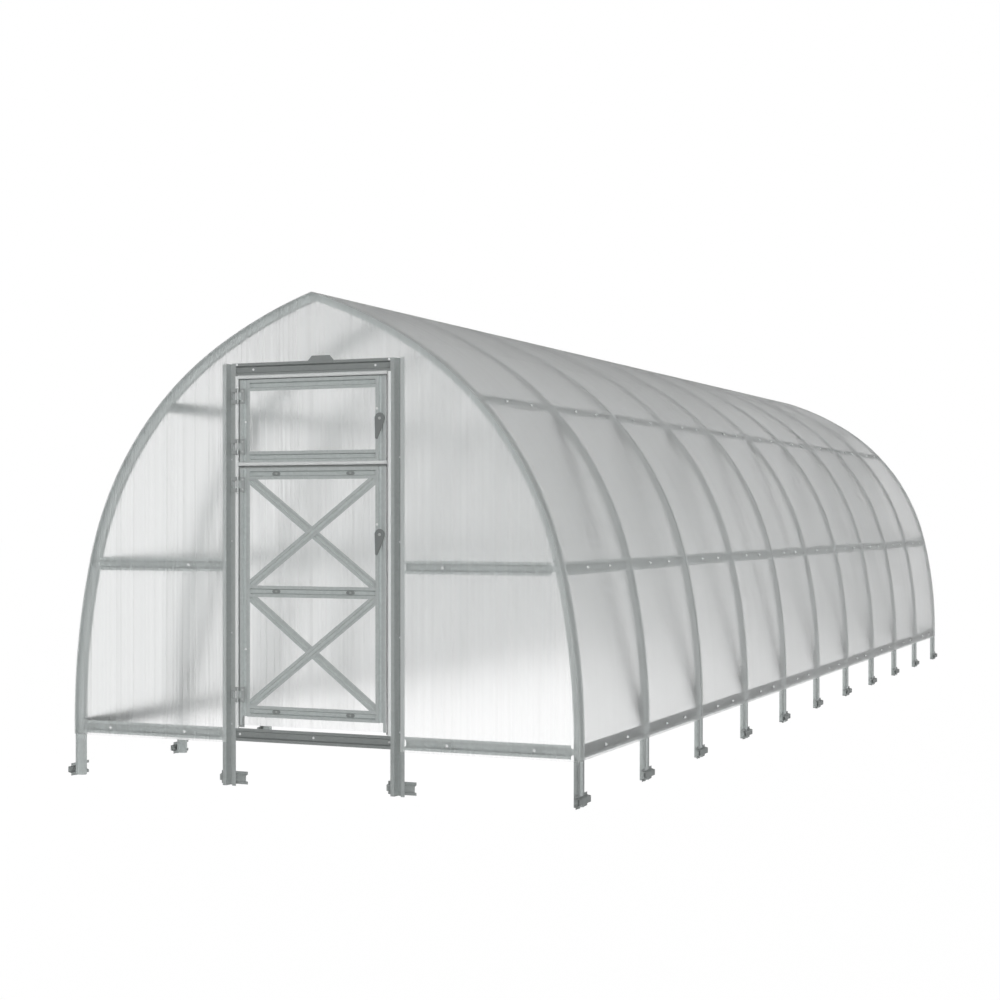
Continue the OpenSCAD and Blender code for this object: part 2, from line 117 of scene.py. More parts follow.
def galvanised(name, bloom_share, painted_light=1.0):
    """Dull zinc: spangle in the colour, weather bloom in colour and gloss, and a fine grain. The third
    argument scales every colour lighter or darker; this is painted light and shade for how much light
    reaches the parts.
    """
    # Painted light and shade: all three zinc colours are scaled by the third argument
    dark, light, pale = (
        tuple(painted_light * channel for channel in zinc) for zinc in (ZINC_DARK, ZINC_LIGHT, ZINC_BLOOM)
    )
    finish, tree, shader, link = new_finish(name)
    spangle = add_node(tree, "ShaderNodeTexVoronoi", Scale=SPANGLES_PER_METRE)
    bloom = add_node(tree, "ShaderNodeTexNoise", Scale=2.6, Detail=6.0, Roughness=0.6)
    grain = add_node(tree, "ShaderNodeTexNoise", Scale=450.0, Detail=2.0)
    for texture in (spangle, bloom, grain):
        link(place_on(tree), texture.inputs["Vector"])
    crystal = add_node(tree, "ShaderNodeSeparateColor")
    link(spangle.outputs["Color"], crystal.inputs["Color"])
    zinc = tint_between(tree, crystal.outputs["Red"], dark, light)
    bloomed = spread(tree, bloom.outputs["Fac"], 0.0, bloom_share)
    link(tint_between(tree, bloomed, zinc, pale), shader.inputs["Base Color"])
    link(spread(tree, bloom.outputs["Fac"], *ZINC_ROUGHNESS), shader.inputs["Roughness"])
    relief = add_node(tree, "ShaderNodeBump", Strength=0.25, Distance=0.0004)
    link(grain.outputs["Fac"], relief.inputs["Height"])
    link(relief.outputs["Normal"], shader.inputs["Normal"])
    shader.inputs["Metallic"].default_value = ZINC_METAL
    return finish


def dress(nodes, finish):
    """Gives CAD nodes their finish."""
    for node in nodes:
        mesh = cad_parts[node].data
        mesh.materials.clear()
        mesh.materials.append(finish)


INNER_ARCHES = range(2, 11)
ARCH_BLOOM = 0.35
# Painted light and shade: the arches' zinc is much lighter, the struts' a little darker
ARCH_PAINTED_LIGHT = 1.62
STRUT_PAINTED_SHADE = 0.95
arches = ["front_arch", *(f"arch_{place}" for place in INNER_ARCHES), "back_arch"]
dress(arches, galvanised("arch_zinc_painted_light", ARCH_BLOOM, ARCH_PAINTED_LIGHT))
dress(["arch_struts"], galvanised("strut_zinc_painted_shade", ARCH_BLOOM, STRUT_PAINTED_SHADE))


# Rails: the base, middle and roof rails that tie the arches together, and the
# short anchors under every leg. They come off the same rolling line as the arches,
# and the anchors have bloomed more, from standing on wet ground. The middle and
# roof rails and the anchors are painted lighter and the base rails darker than
# the plain zinc: painted light and shade.
RAIL_BLOOM = 0.45
# Painted light and shade: the upper rails and anchors are lighter, the base rails darker
RAIL_PAINTED_LIGHT = 1.5
BASE_PAINTED_SHADE = 0.82
ANCHOR_BLOOM = 0.75
ANCHOR_PAINTED_LIGHT = 1.2
rail_zinc_painted_light = galvanised("rail_zinc_painted_light", RAIL_BLOOM, RAIL_PAINTED_LIGHT)
upper_rails = ["side_mid_rails", "roof_rails"]
dress(upper_rails, rail_zinc_painted_light)
dress(["side_base_rails"], galvanised("base_zinc_painted_shade", RAIL_BLOOM, BASE_PAINTED_SHADE))
dress(["ground_anchors"], galvanised("anchor_zinc_painted_light", ANCHOR_BLOOM, ANCHOR_PAINTED_LIGHT))


# Doorways: posts, header, sill and gable rails of both gables. They are the same
# hat sections with the open side out, bolted to the arch at the ends. The posts
# and gable rails are painted lighter than the header and sill: painted light.
GABLES = {"front": -1, "back": 1}
# Painted light: the posts' zinc is lighter than the header's and sill's
POST_PAINTED_LIGHT = 1.4
bar_zinc = galvanised("bar_zinc", RAIL_BLOOM)
post_zinc_painted_light = galvanised("post_zinc_painted_light", RAIL_BLOOM, POST_PAINTED_LIGHT)
for gable in GABLES:
    dress([f"{gable}_gable_rails"], rail_zinc_painted_light)
    dress([f"{gable}_header", f"{gable}_sill"], bar_zinc)
    dress([f"{gable}_door_posts"], post_zinc_painted_light)


# Sheets: twin-wall polycarbonate, 4 mm thick, clear but hazy. Its flutes stand
# upright in the gables and the leaves, and run over the arches on the roof, so
# each flute bends what is behind it a little to one side. The roof sheets are
# tinted greyer than the upright ones: painted shade for the dimmer light on the roof.
FLUTE_PITCH = 0.0057
DRAW_WIDTH = 0.0114
HAZE = (0.285, 0.345)
LET_THROUGH = 0.99
CONTACT_GAP = 0.0002
# Grey tint of the roof sheets: painted shade
ROOF_SHADED_CLEAR = (0.902, 0.910, 0.908)
ROOF_INDEX = 1.18
ROOF_WAVER = 0.008
ROOF_STREAK = 0.02
UPRIGHT_CLEAR = (0.997, 1.0, 1.0)
UPRIGHT_INDEX = 1.20
UPRIGHT_WAVER = 0.30
UPRIGHT_STREAK = 0.035


def per_strip(tree, coordinate, width):
    """An output from 0 to 1 that differs from one strip of that width to the next."""
    strip = add_node(tree, "ShaderNodeMath", {"operation": "DIVIDE"})
    tree.links.new(coordinate, strip.inputs[0])
    strip.inputs[1].default_value = width
    count = add_node(tree, "ShaderNodeMath", {"operation": "FLOOR"})
    tree.links.new(strip.outputs["Value"], count.inputs[0])
    uneven = add_node(tree, "ShaderNodeTexWhiteNoise", {"noise_dimensions": "1D"})
    tree.links.new(count.outputs["Value"], uneven.inputs["W"])
    return uneven.outputs["Value"]


def twin_wall(name, across, tint, index, waver, streak):
    """Hazy clear sheet. Flutes cross the axis named across, lean by up to waver, and darken by streak."""
    finish, tree, shader, link = new_finish(name)
    axes = add_node(tree, "ShaderNodeSeparateXYZ")
    link(place_on(tree), axes.inputs["Vector"])
    flute = per_strip(tree, axes.outputs[across], FLUTE_PITCH)
    draw = per_strip(tree, axes.outputs[across], DRAW_WIDTH)
    haze = add_node(tree, "ShaderNodeTexNoise", Scale=1.7, Detail=5.0, Roughness=0.55)
    link(place_on(tree), haze.inputs["Vector"])
    line = add_node(tree, "ShaderNodeMapRange", From_Min=0.6, From_Max=1.0)
    link(draw, line.inputs["Value"])
    # Strips of the sheet are darker at random, by up to streak
    second_tint = tuple((1.0 - streak) * channel for channel in tint)
    link(tint_between(tree, line.outputs["Result"], tint, second_tint), shader.inputs["Base Color"])
    link(spread(tree, haze.outputs["Fac"], *HAZE), shader.inputs["Roughness"])
    both = add_node(tree, "ShaderNodeMath", {"operation": "ADD"})
    link(spread(tree, flute, -waver, waver), both.inputs[0])
    link(spread(tree, draw, -waver, waver), both.inputs[1])
    sideways = add_node(tree, "ShaderNodeCombineXYZ")
    link(both.outputs["Value"], sideways.inputs[across])
    upright = add_node(tree, "ShaderNodeNewGeometry")
    leant = add_node(tree, "ShaderNodeVectorMath", {"operation": "ADD"})
    link(upright.outputs["Normal"], leant.inputs[0])
    link(sideways.outputs["Vector"], leant.inputs[1])
    square = add_node(tree, "ShaderNodeVectorMath", {"operation": "NORMALIZE"})
    link(leant.outputs["Vector"], square.inputs[0])
    link(square.outputs["Vector"], shader.inputs["Normal"])
    shader.inputs["Transmission Weight"].default_value = LET_THROUGH
    shader.inputs["IOR"].default_value = index
    return finish


def glaze(nodes, finish):
    """Sheets in their finish, held a hair off the steel that they lie against."""
    dress(nodes, finish)
    for node in nodes:
        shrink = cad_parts[node].modifiers.new("contact_gap", "DISPLACE")
        shrink.mid_level = 0.0
        shrink.strength = -CONTACT_GAP


roof_sheet = twin_wall("roof_sheet", "Y", ROOF_SHADED_CLEAR, ROOF_INDEX, ROOF_WAVER, ROOF_STREAK)
dress(["roof_sheets_left", "roof_sheets_right"], roof_sheet)
upright_sheet = twin_wall(
    "upright_sheet", "X", UPRIGHT_CLEAR, UPRIGHT_INDEX, UPRIGHT_WAVER, UPRIGHT_STREAK
)
for gable in GABLES:
    glaze([f"{gable}_gable_sheet_{side}" for side in ("left", "right", "top")], upright_sheet)


# Seals: pale, slightly clear rubber tubes pressed on the edges of the posts, the
# header and the foot of the hatch, and behind each a grey lip that closes the
# slit beside the leaf from the inside: painted shade, a strip that stands in for
# the shade in the slit.
SEAL_PALE = (0.95, 0.97, 0.965)
SEAL_DUST = (0.97, 0.99, 0.985)
SEAL_LETS_THROUGH = 0.20
# Grey of the lips, painted shade for the slits beside the leaves, with lighter dust spots
LIP_PAINTED_SHADE = (0.42, 0.44, 0.435)
LIP_PAINTED_SHADE_DUST = (0.50, 0.52, 0.515)
RUBBER_ROUGHNESS = (0.55, 0.75)
LIP_ROOT = 0.0150
LIP_EDGE = -0.0370
LIP_END = 0.001
# Outlines of the lips: distance from the edge of the bar, and depth behind the face of the gable
BAR_LIP = (
    (LIP_ROOT, 0.0012),
    (0.0115, 0.0260),
    (0.0090, 0.0290),
    (-0.0360, 0.0290),
    (LIP_EDGE, 0.0282),
    (-0.0360, 0.0274),
    (0.0075, 0.0274),
    (0.0100, 0.0255),
    (0.0132, 0.0012),
)
LEAF_LIP = (
    (LIP_ROOT, 0.0222),
    (LIP_ROOT, 0.0290),
    (-0.0360, 0.0290),
    (LIP_EDGE, 0.0282),
    (-0.0360, 0.0274),
    (0.0130, 0.0274),
    (0.0130, 0.0222),
)


def soft_rubber(name, clean, second_tint):
    """Matt rubber with a little dust lying in it."""
    finish, tree, shader, link = new_finish(name)
    dust = add_node(tree, "ShaderNodeTexNoise", Scale=35.0, Detail=5.0)
    link(place_on(tree), dust.inputs["Vector"])
    link(tint_between(tree, dust.outputs["Fac"], clean, second_tint), shader.inputs["Base Color"])
    link(spread(tree, dust.outputs["Fac"], *RUBBER_ROUGHNESS), shader.inputs["Roughness"])
    skin = add_node(tree, "ShaderNodeBump", Strength=0.15, Distance=0.0005)
    link(dust.outputs["Fac"], skin.inputs["Height"])
    link(skin.outputs["Normal"], shader.inputs["Normal"])
    return finish


def add_strip(form, outline, spot, start, end):
    """A strip of one outline, where spot turns a point of it and a place along it into a point."""
    ends = [[form.verts.new(spot(off, deep, along)) for off, deep in outline] for along in (start, end)]
    form.faces.new(ends[0])
    form.faces.new(reversed(ends[1]))
    for here in range(len(outline)):
        after = (here + 1) % len(outline)
        form.faces.new((ends[0][here], ends[0][after], ends[1][after], ends[1][here]))


def add_piece(name, form, finishes, body):
    """Turns a finished form into a piece that rides on a body."""
    bmesh.ops.recalc_face_normals(form, faces=form.faces)
    mesh = bpy.data.meshes.new(name)
    form.to_mesh(mesh)
    form.free()
    for finish in finishes:
        mesh.materials.append(finish)
    piece = bpy.data.objects.new(name, mesh)
    bpy.context.collection.objects.link(piece)
    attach(piece, body)


seal_pale = soft_rubber("seal_pale", SEAL_PALE, SEAL_DUST)
seal_shader = seal_pale.node_tree.nodes["Principled BSDF"]
seal_shader.inputs["Transmission Weight"].default_value = SEAL_LETS_THROUGH
dress([f"{gable}_seals" for gable in GABLES], seal_pale)
# The lips are painted shade: grey strips that stand in for the shade in the slits
lip_shade_grey = soft_rubber("lip_shade_grey", LIP_PAINTED_SHADE, LIP_PAINTED_SHADE_DUST)
gable_face = -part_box("front_sill")[0].y
for gable, sense in GABLES.items():
    header_low, header_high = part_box(f"{gable}_header")
    post_edge = header_high.x
    sill_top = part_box(f"{gable}_sill")[1].z
    hatch_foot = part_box(f"{gable}_hatch_frame")[0].z
    between = post_edge + LIP_EDGE - LIP_END
    form = bmesh.new()
    for side in (-1, 1):
        add_strip(
            form,
            BAR_LIP,
            lambda off, deep, z: (side * (post_edge + off), sense * (gable_face - deep), z),
            sill_top + LIP_END,
            header_low.z + LIP_ROOT,
        )
    for outline, edge in ((BAR_LIP, header_low.z), (LEAF_LIP, hatch_foot)):
        add_strip(
            form,
            outline,
            lambda off, deep, x: (x, sense * (gable_face - deep), edge + off),
            -between,
            between,
        )
    add_piece(f"{gable}_slit_shade_lips", form, (lip_shade_grey,), "frame")


# Leaves: the vent hatches and the doors, each a bolted frame of hat section with
# a sheet behind it, and the doors with crossed braces in front of the sheet. Their
# steel is painted much lighter than the plain zinc: painted light.
LEAF_BLOOM = 0.30
# Painted light: the leaves' zinc is much lighter than the plain zinc
LEAF_PAINTED_LIGHT = 1.76
leaf_zinc_painted_light = galvanised("leaf_zinc_painted_light", LEAF_BLOOM, LEAF_PAINTED_LIGHT)
dress(["front_hatch_frame", "back_hatch_frame", "door_frame", "back_door_frame"], leaf_zinc_painted_light)
dress(["door_braces", "back_door_braces"], leaf_zinc_painted_light)
glaze(["front_hatch_sheet", "back_hatch_sheet", "door_sheet", "back_door_sheet"], upright_sheet)


# Fittings: hinge plates, brackets and lever latches, pressed from thicker plate
# and zinc plated after pressing. The levers have been dulled by hands.
PLATED_ROUGHNESS = (0.30, 0.50)
HINGE_BRIGHT = (0.52, 0.545, 0.54)
HINGE_DULL = (0.45, 0.475, 0.47)
HINGE_METAL = 0.3
LEVER_DARK = (0.30, 0.32, 0.315)


def plated(name, bright, dull, metal):
    """Zinc plating with dull cloudy patches."""
    finish, tree, shader, link = new_finish(name)
    cloud = add_node(tree, "ShaderNodeTexNoise", Scale=60.0, Detail=4.0)
    link(place_on(tree), cloud.inputs["Vector"])
    link(tint_between(tree, cloud.outputs["Fac"], bright, dull), shader.inputs["Base Color"])
    link(spread(tree, cloud.outputs["Fac"], *PLATED_ROUGHNESS), shader.inputs["Roughness"])
    relief = add_node(tree, "ShaderNodeBump", Strength=0.2, Distance=0.0002)
    link(cloud.outputs["Fac"], relief.inputs["Height"])
    link(relief.outputs["Normal"], shader.inputs["Normal"])
    shader.inputs["Metallic"].default_value = metal
    return finish


def plated_pair(name, lever_side):
    """Hinges in their plating, and the lever on the other side of the doorway in a darker one."""
    finish = plated(name, HINGE_BRIGHT, HINGE_DULL, HINGE_METAL)
    tree = finish.node_tree
    shade = tree.nodes["Principled BSDF"].inputs["Base Color"]
    axes = add_node(tree, "ShaderNodeSeparateXYZ")
    tree.links.new(place_on(tree), axes.inputs["Vector"])
    lever = add_node(tree, "ShaderNodeMath", {"operation": "MULTIPLY"})
    tree.links.new(axes.outputs["X"], lever.inputs[0])
    lever.inputs[1].default_value = lever_side
    over = add_node(tree, "ShaderNodeMath", {"operation": "GREATER_THAN"})
    tree.links.new(lever.outputs["Value"], over.inputs[0])
    over.inputs[1].default_value = 0.0
    plating = shade.links[0].from_socket
    tree.links.new(tint_between(tree, over.outputs["Value"], plating, LEVER_DARK), shade)
    return finish


for gable, sense in GABLES.items():
    pair = plated_pair(f"{gable}_fitting_zinc", -sense)
    door_fittings = ["door_hinges", "door_latch"] if gable == "front" else ["back_door_fittings"]
    dress([f"{gable}_hatch_fittings", f"{gable}_hinge_brackets", *door_fittings], pair)


# Sheet screws: self-drilling hexagon screws with domed rubber washers, driven
# through the sheets into the rails, two to a bay on the sides and roof, two to
# each low gable rail and one to each middle one. The heads and the domed tops of
# the washers are near-white and matt over a black rubber pad: painted glint for
# bright zinc catching the light.
# Near-white screw heads: painted glint, dimmed a little at random
SCREW_PAINTED_GLINT = (0.95, 0.96, 0.96)
SCREW_PAINTED_GLINT_DIM = (0.88, 0.89, 0.89)
WASHER_BLACK = (0.055, 0.058, 0.058)
WASHER_DUST = (0.10, 0.105, 0.10)
# Forms turned from rings of radius and height over the seat
SHEET_PAD = ((0.0082, 0.0002), (0.0082, 0.0014))
SHEET_WASHER = ((0.0090, 0.0012), (0.0088, 0.0020), (0.0066, 0.0030))
SHEET_HEAD = ((0.0064, 0.0028), (0.0064, 0.0040), (0.0046, 0.0044), (0.0046, 0.0088), (0.0038, 0.0096))
WASHER_SIDES = 20
HEXAGON = 6
BAY_SHARES = (1 / 3, 2 / 3)
LOW_SHARES = (0.25, 0.75)
MIDDLE_SHARES = (0.25,)
screw_painted_glint = plated("screw_painted_glint", SCREW_PAINTED_GLINT, SCREW_PAINTED_GLINT_DIM, 0.0)
washer_rubber = soft_rubber("washer_rubber", WASHER_BLACK, WASHER_DUST)
skins = {}


def seat(node, start, way):
    """The frame, with Z out of the surface, where a line from start along way meets a node."""
    if node not in skins:
        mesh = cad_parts[node].data
        skins[node] = BVHTree.FromPolygons(
            [corner.co for corner in mesh.vertices], [face.vertices for face in mesh.polygons]
        )
    point, normal, _, _ = skins[node].ray_cast(Vector(start), Vector(way))
    if normal.dot(Vector(way)) > 0:
        normal = -normal
    return Matrix.Translation(point) @ normal.to_track_quat("Z", "Y").to_matrix().to_4x4()


def turn_up(form, place, rings, sides, finish):
    """Adds a turned or hexagonal form, from rings of radius and height over its seat."""
    loops = []
    for radius, height in rings:
        corners = (math.tau * side / sides for side in range(sides))
        spots = (Vector((radius * math.cos(a), radius * math.sin(a), height)) for a in corners)
        loops.append([form.verts.new(place @ spot) for spot in spots])
    faces = [form.faces.new(reversed(loops[0])), form.faces.new(loops[-1])]
    for lower, upper in zip(loops, loops[1:]):
        for side in range(sides):
            after = (side + 1) % sides
            faces.append(form.faces.new((lower[side], lower[after], upper[after], upper[side])))
    for face in faces:
        face.material_index = finish


def add_sheet_screws(name, seats):
    """Sheet screws with their washers, one at each seat."""
    form = bmesh.new()
    for place in seats:
        turn_up(form, place, SHEET_PAD, WASHER_SIDES, 1)
        turn_up(form, place, SHEET_WASHER, WASHER_SIDES, 0)
        turn_up(form, place, SHEET_HEAD, HEXAGON, 0)
    add_piece(name, form, (screw_painted_glint, washer_rubber), "frame")


def middle(node):
    """The middle of a node's box."""
    low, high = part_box(node)
    return (low + high) / 2


arch_places = [middle(arch).y for arch in arches]
screw_places = [
    first + share * (second - first)
    for first, second in zip(arch_places, arch_places[1:])
    for share in BAY_SHARES
]
far_out = 2 * cad_high.x
for side, sense in (("left", -1), ("right", 1)):
    add_sheet_screws(
        f"roof_screws_{side}",
        [
            seat(f"roof_sheets_{side}", (sense * far_out, y, middle(rails).z), (-sense, 0, 0))
            for rails in ("side_base_rails", *upper_rails)
            for y in screw_places
        ],
    )
sill_low, sill_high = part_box("front_sill")
half_rail = (sill_high.z - sill_low.z) / 2
far_along = 2 * cad_high.y
for gable, sense in GABLES.items():
    rails_low, rails_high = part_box(f"{gable}_gable_rails")
    post_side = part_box(f"{gable}_door_posts")[1].x
    spots = []
    for z, shares in (
        (rails_low.z + half_rail, LOW_SHARES),
        (rails_high.z - half_rail, MIDDLE_SHARES),
    ):
        wall = seat("roof_sheets_right", (far_out, middle("arch_2").y, z), (-1, 0, 0)).translation.x
        spots += [(post_side + share * (wall - post_side), z) for share in shares]
    add_sheet_screws(
        f"{gable}_gable_screws",
        [
            seat(f"{gable}_gable_sheet_{hand}", (turn * x, sense * far_along, z), (0, -sense, 0))
            for hand, turn in (("left", sense), ("right", -sense))
            for x, z in spots
        ],
    )


# Frame screws: low flanged screws on the bare steel, down in the hollows of the
# posts, header and sill, where those bars are fixed to what lies behind them.
# They share the near-white painted glint of the sheet screws.
FRAME_HEAD = ((0.0070, 0.0), (0.0070, 0.0014), (0.0052, 0.0018), (0.0050, 0.0050), (0.0040, 0.0058))
POST_SCREW_HEIGHTS = (0.322, 0.804, 1.289, 1.720)
HEADER_SCREW_X = 0.359
CORNER_SCREW_X = 0.447
CORNER_SCREW_DROP = 0.008
SILL_SCREW_X = 0.440


def add_frame_screws(name, seats, body):
    """Bare flanged screws, one at each seat."""
    form = bmesh.new()
    for place in seats:
        turn_up(form, place, FRAME_HEAD, HEXAGON, 0)
    add_piece(name, form, (screw_painted_glint,), body)


for gable, sense in GABLES.items():
    inward = (0, -sense, 0)
    outside = sense * far_along
    post_x = (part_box(f"{gable}_door_posts")[1].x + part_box(f"{gable}_header")[1].x) / 2
    header_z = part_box(f"{gable}_header")[0].z + half_rail
    header_top = header_z + half_rail
    seats = []
    for x in (-post_x, post_x):
        seats += [seat(f"{gable}_door_posts", (x, outside, z), inward) for z in POST_SCREW_HEIGHTS]
    for x in (-HEADER_SCREW_X, HEADER_SCREW_X):
        seats.append(seat(f"{gable}_header", (x, outside, header_z), inward))
    for x in (-CORNER_SCREW_X, CORNER_SCREW_X):
        seats.append(seat(f"{gable}_header", (x, outside, header_top - CORNER_SCREW_DROP), inward))
    for x in (-SILL_SCREW_X, 0.0, SILL_SCREW_X):
        seats.append(seat(f"{gable}_sill", (x, outside, middle(f"{gable}_sill").z), inward))
    add_frame_screws(f"{gable}_doorway_screws", seats, "frame")


# Leaf bolts: hexagon bolts on dull oblong plates in the hollows of the door's rails,
# and small screws in the stiles of the doors and hatches.
BOLT_BRIGHT = (0.50, 0.52, 0.515)
BOLT_DULL = (0.42, 0.44, 0.435)
BOLT_METAL = 0.2
PLATE_GREY = (0.36, 0.38, 0.375)
PLATE_DARK = (0.30, 0.32, 0.315)
PLATE_METAL = 0.3
PLATE_HALF_LEN = 0.024
PLATE_HALF_W = 0.0085
PLATE_T = 0.0022
PLATE_ROUND = 8
BOLT_X = 0.218
BOLT_HEAD = ((0.0065, 0.0020), (0.0065, 0.0062), (0.0055, 0.0070))
DOOR_RAIL_HEIGHTS = (0.398, 1.027, 1.641)
DOOR_STILE_SCREWS = ((-0.403, 0.721), (0.378, 1.378))
HATCH_STILE_SCREWS = ((-0.403, 1.915), (0.378, 1.968))
bolt_zinc = plated("bolt_zinc", BOLT_BRIGHT, BOLT_DULL, BOLT_METAL)
dull_plate = plated("dull_plate", PLATE_GREY, PLATE_DARK, PLATE_METAL)


def add_oblong(form, place, finish):
    """A flat plate with round ends, lying along the X axis of the object."""
    reach = PLATE_HALF_LEN - PLATE_HALF_W
    rim = []
    for end, first in ((1, -90), (-1, 90)):
        for step in range(PLATE_ROUND + 1):
            a = math.radians(first + 180 * step / PLATE_ROUND)
            rim.append((end * reach + PLATE_HALF_W * math.cos(a), PLATE_HALF_W * math.sin(a)))
    under = [form.verts.new(place @ Vector((x, y, 0.0))) for x, y in rim]
    over = [form.verts.new(place @ Vector((x, y, PLATE_T))) for x, y in rim]
    faces = [form.faces.new(reversed(under)), form.faces.new(over)]
    for here in range(len(rim)):
        after = (here + 1) % len(rim)
        faces.append(form.faces.new((under[here], under[after], over[after], over[here])))
    for face in faces:
        face.material_index = finish


for gable, sense in GABLES.items():
    leaf, body = ("door", "door") if gable == "front" else ("back_door", "frame")
    inward = (0, -sense, 0)
    outside = sense * far_along
    form = bmesh.new()
    for z in DOOR_RAIL_HEIGHTS:
        for x in (-BOLT_X, BOLT_X):
            place = seat(f"{leaf}_frame", (x, outside, z), inward)
            flat = Matrix.Translation(place.translation) @ Matrix.Rotation(-sense * math.pi / 2, 4, "X")
            add_oblong(form, flat, 1)
            turn_up(form, place, BOLT_HEAD, HEXAGON, 0)
    add_piece(f"{leaf}_bolts", form, (bolt_zinc, dull_plate), body)
    for part, rides, screws in (
        (leaf, body, DOOR_STILE_SCREWS),
        (f"{gable}_hatch", "frame", HATCH_STILE_SCREWS),
    ):
        seats = [seat(f"{part}_frame", (-sense * x, outside, z), inward) for x, z in screws]
        add_frame_screws(f"{part}_stile_screws", seats, rides)


# Fitting screws: two flat screws through each hinge plate into its stile, and the
# locknut on the spindle of each lever, which turns with the lever.
FITTING_BRIGHT = (0.62, 0.64, 0.64)
FITTING_DULL = (0.52, 0.54, 0.535)
FITTING_METAL = 0.2
HINGE_HEAD = ((0.0060, 0.0), (0.0058, 0.0012), (0.0040, 0.0024))
LEVER_NUT = ((0.0085, 0.0), (0.0085, 0.0012), (0.0070, 0.0014), (0.0070, 0.0056), (0.0060, 0.0064))
HINGE_SCREW_X = -0.414
HINGE_SCREW_STEP = 0.025
DOOR_HINGE_HEIGHTS = (0.483, 1.5866)
HATCH_HINGE_HEIGHTS = (1.7846, 2.0506)
LEVER_X = 0.399
DOOR_LEVER_Z = 1.327
HATCH_LEVER_Z = 1.9176
fitting_zinc = plated("fitting_screw", FITTING_BRIGHT, FITTING_DULL, FITTING_METAL)
for node, body, sense, hinge_heights, lever_heights in (
    ("door_hinges", "door", -1, DOOR_HINGE_HEIGHTS, ()),
    ("door_latch", "latch", -1, (), (DOOR_LEVER_Z,)),
    ("front_hatch_fittings", "frame", -1, HATCH_HINGE_HEIGHTS, (HATCH_LEVER_Z,)),
    ("back_door_fittings", "frame", 1, DOOR_HINGE_HEIGHTS, (DOOR_LEVER_Z,)),
    ("back_hatch_fittings", "frame", 1, HATCH_HINGE_HEIGHTS, (HATCH_LEVER_Z,)),
):
    inward = (0, -sense, 0)
    outside = sense * far_along
    form = bmesh.new()
    for height in hinge_heights:
        for z in (height - HINGE_SCREW_STEP, height + HINGE_SCREW_STEP):
            place = seat(node, (-sense * HINGE_SCREW_X, outside, z), inward)
            turn_up(form, place, HINGE_HEAD, WASHER_SIDES, 0)
    for z in lever_heights:
        place = seat(node, (-sense * LEVER_X, outside, z), inward)
        turn_up(form, place, LEVER_NUT, HEXAGON, 0)
    add_piece(f"{node}_screws", form, (fitting_zinc,), body)


# End tabs: the crown of each rail runs on as a flat tab with clipped corners behind
# the flange of the post or stile that it meets, and is bolted there.
TAB_T = 0.0010
BAR_TAB_DEPTH = 0.0218
LEAF_TAB_DEPTH = 0.0177
STILE_W = 0.060
HATCH_RAIL_HEIGHTS = (1.730, 2.105)
# Outlines of the tabs: distance past the end of the rail, and height over its middle
BAR_TAB = (
    (-0.012, -0.019),
    (0.016, -0.019),
    (0.021, -0.014),
    (0.021, 0.014),
    (0.016, 0.019),
    (-0.012, 0.019),
)
LEAF_TAB = (
    (0.0005, -0.0135),
    (0.013, -0.0135),
    (0.017, -0.010),
    (0.017, 0.010),
    (0.013, 0.0135),
    (0.0005, 0.0135),
)


def add_tabs(name, outline, edge, back, heights, finish, body):
    """Tabs at both ends of rails at these heights, whose back face lies at the depth named back."""
    form = bmesh.new()
    front = back + math.copysign(TAB_T, back)
    for z in heights:
        for side in (-1, 1):
            add_strip(form, outline, lambda off, up, y: (side * (edge + off), y, z + up), back, front)
    add_piece(name, form, (finish,), body)


for gable, sense in GABLES.items():
    bar_back = sense * (gable_face - BAR_TAB_DEPTH)
    leaf_back = sense * (gable_face - LEAF_TAB_DEPTH)
    header_low, header_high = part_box(f"{gable}_header")
    bar_heights = (header_low.z + half_rail, middle(f"{gable}_sill").z)
    add_tabs(f"{gable}_bar_tabs", BAR_TAB, header_high.x, bar_back, bar_heights, bar_zinc, "frame")
    leaf, body = ("door", "door") if gable == "front" else ("back_door", "frame")
    for part, rides, heights in (
        (leaf, body, DOOR_RAIL_HEIGHTS),
        (f"{gable}_hatch", "frame", HATCH_RAIL_HEIGHTS),
    ):
        stile_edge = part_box(f"{part}_frame")[1].x - STILE_W
        add_tabs(f"{part}_tabs", LEAF_TAB, stile_edge, leaf_back, heights, leaf_zinc_painted_light, rides)


# Floor, light and camera: a plain pale floor that keeps the soft shadow, an even
# white surround, broad lamps in front and behind, and the photograph's level view.
FLOOR_RADIUS = 90.0
FLOOR_SIDES = 96
FLOOR_WHITE = (0.95, 0.95, 0.95)
FLOOR_ROUGHNESS = 0.9
FLOOR_GLOW = 0.96
GLOW_STRENGTH = 1.03


def seen_directly(tree):
    """1 for rays from the camera or through a sheet, and 0 for light that falls on things."""
    path = add_node(tree, "ShaderNodeLightPath")
    either = add_node(tree, "ShaderNodeMath", {"operation": "MAXIMUM"})
    tree.links.new(path.outputs["Is Camera Ray"], either.inputs[0])
    tree.links.new(path.outputs["Is Transmission Ray"], either.inputs[1])
    return either.outputs["Value"]


